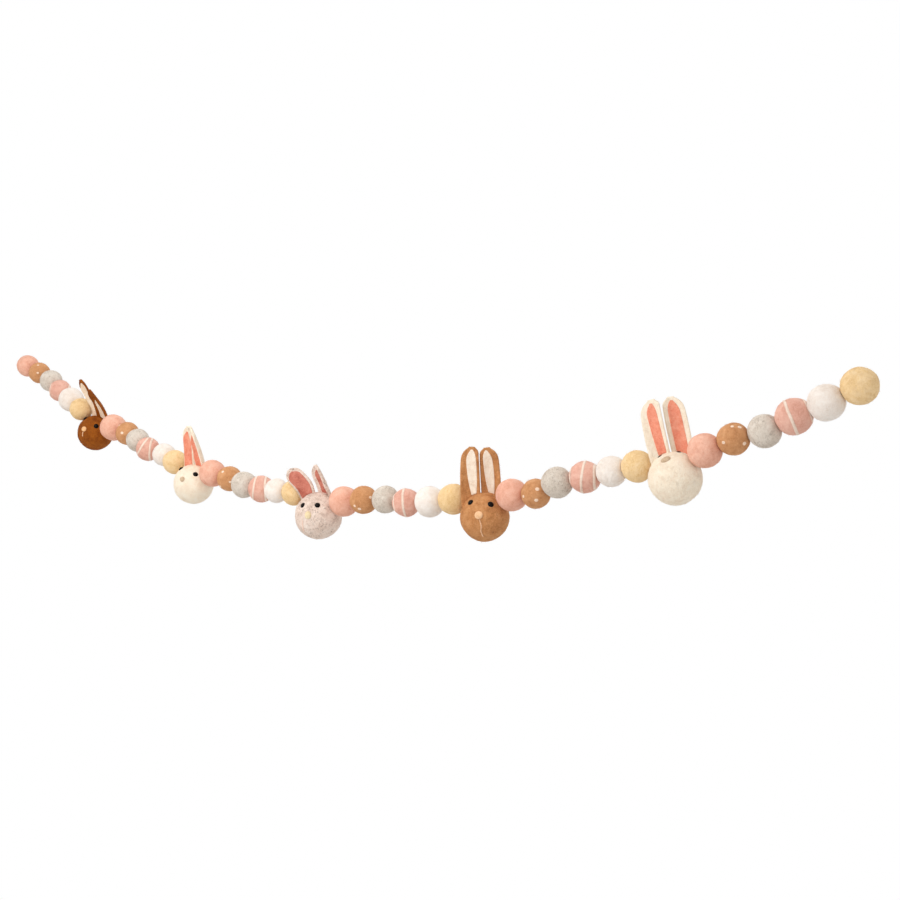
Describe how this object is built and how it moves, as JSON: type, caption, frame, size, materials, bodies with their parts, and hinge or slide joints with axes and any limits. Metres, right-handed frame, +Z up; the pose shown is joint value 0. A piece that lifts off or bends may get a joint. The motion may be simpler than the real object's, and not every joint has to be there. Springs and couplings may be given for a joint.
{
  "type": "wool ball garland",
  "caption": "hung garland of small felted wool balls in muted colours with round long-eared rabbit heads strung between the runs of balls",
  "frame": {"origin": "where the thread leaves the outer side of the first ball, at the upper left end", "axes": "+X level along the garland from its left end to its right end, +Y to the back, away from the rabbits' faces, +Z up"},
  "size_m": [0.949, 0.0432, 0.173],
  "materials": {
    "pink": "matt felted wool",
    "brown": "matt felted wool",
    "grey": "matt felted wool",
    "striped": "matt felted wool",
    "white": "matt felted wool",
    "mustard": "matt felted wool",
    "nose": "matt felted wool"
  },
  "bodies": {
    "root": {"ball_01_pink": "pink", "ball_02_brown": "brown", "ball_03_grey": "grey", "ball_04_striped": "striped", "ball_05_white": "white", "ball_06_mustard": "mustard", "ball_07_pink": "pink", "ball_08_brown": "brown", "ball_09_grey": "grey", "ball_10_striped": "striped", "ball_11_white": "white", "ball_12_mustard": "mustard", "ball_13_pink": "pink", "ball_14_brown": "brown", "ball_15_grey": "grey", "ball_16_striped": "striped", "ball_17_white": "white", "ball_18_mustard": "mustard", "ball_19_pink": "pink", "ball_20_brown": "brown", "ball_21_grey": "grey", "ball_22_striped": "striped", "ball_23_white": "white", "ball_24_mustard": "mustard", "ball_25_pink": "pink", "ball_26_brown": "brown", "ball_27_grey": "grey", "ball_28_striped": "striped", "ball_29_white": "white", "ball_30_mustard": "mustard", "ball_31_pink": "pink", "ball_32_brown": "brown", "ball_33_grey": "grey", "ball_34_striped": "striped", "ball_35_white": "white", "ball_36_mustard": "mustard", "head_1_brown": "brown", "ear_1_left": "brown", "ear_1_right": "brown", "nose_1": "nose", "head_2_white": "white", "ear_2_left": "white", "ear_2_right": "white", "nose_2": "nose", "head_3_grey": "grey", "ear_3_left": "grey", "ear_3_right": "grey", "nose_3": "nose", "head_4_brown": "brown", "ear_4_left": "brown", "ear_4_right": "brown", "nose_4": "nose", "head_5_white": "white", "ear_5_left": "white", "ear_5_right": "white", "nose_5": "nose"}
  },
  "joints": []
}
